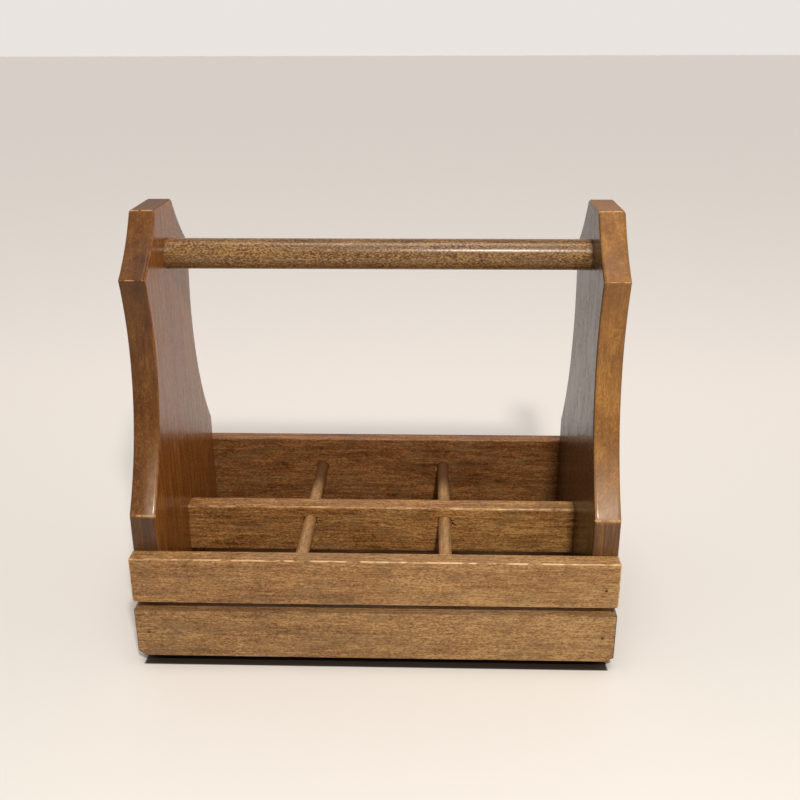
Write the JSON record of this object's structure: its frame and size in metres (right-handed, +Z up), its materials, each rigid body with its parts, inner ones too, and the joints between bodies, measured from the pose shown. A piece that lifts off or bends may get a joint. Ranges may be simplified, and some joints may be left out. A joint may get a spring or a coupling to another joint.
{
  "type": "tool storage caddy",
  "caption": "Open wooden tool caddy with shaped end panels, a round carrying handle, a slatted front and a tray divided into bays, on rubber feet.",
  "frame": {"origin": "on the surface it stands on, under the middle of the tray", "axes": "+X along the length and the handle, +Y from the slatted front to the solid back, +Z up"},
  "size_m": [0.35, 0.218, 0.3205],
  "materials": {
    "panel_wood": "red-brown stain under semi-gloss varnish",
    "slat_wood": "brown stain under satin varnish",
    "back_wood": "brown stain under satin varnish",
    "divider_wood": "brown stain under satin varnish",
    "handle_wood": "brown stain, flecked, under semi-gloss varnish",
    "cross_dowel_wood": "brown stain under satin varnish",
    "floor_wood": "brown stain, satin",
    "foot_rubber": "matt black",
    "nail_steel": "dull bright steel",
    "screw_steel": "zinc plated"
  },
  "bodies": {
    "root": {"end_panel_left": "panel_wood", "end_panel_right": "panel_wood", "handle_dowel": "handle_wood", "front_slat_upper": "slat_wood", "front_slat_lower": "slat_wood", "back_board": "back_wood", "centre_divider": "divider_wood", "cross_dowel_left": "cross_dowel_wood", "cross_dowel_right": "cross_dowel_wood", "floor_board": "floor_wood", "foot_front_left": "foot_rubber", "foot_front_right": "foot_rubber", "foot_back_left": "foot_rubber", "foot_back_right": "foot_rubber", "foot_washer_front_left": "screw_steel", "foot_washer_front_right": "screw_steel", "foot_washer_back_left": "screw_steel", "foot_washer_back_right": "screw_steel", "foot_screw_front_left": "screw_steel", "foot_screw_front_right": "screw_steel", "foot_screw_back_left": "screw_steel", "foot_screw_back_right": "screw_steel", "handle_screw_left": "screw_steel", "handle_screw_right": "screw_steel", "upper_slat_nail_left": "nail_steel", "upper_slat_nail_right": "nail_steel", "lower_slat_nail_left": "nail_steel", "lower_slat_nail_right": "nail_steel", "back_nail_low_left": "nail_steel", "back_nail_low_right": "nail_steel", "back_nail_high_left": "nail_steel", "back_nail_high_right": "nail_steel", "divider_nail_left": "nail_steel", "divider_nail_right": "nail_steel", "floor_nail_left_front": "nail_steel", "floor_nail_left_back": "nail_steel", "floor_nail_right_front": "nail_steel", "floor_nail_right_back": "nail_steel"}
  },
  "joints": []
}
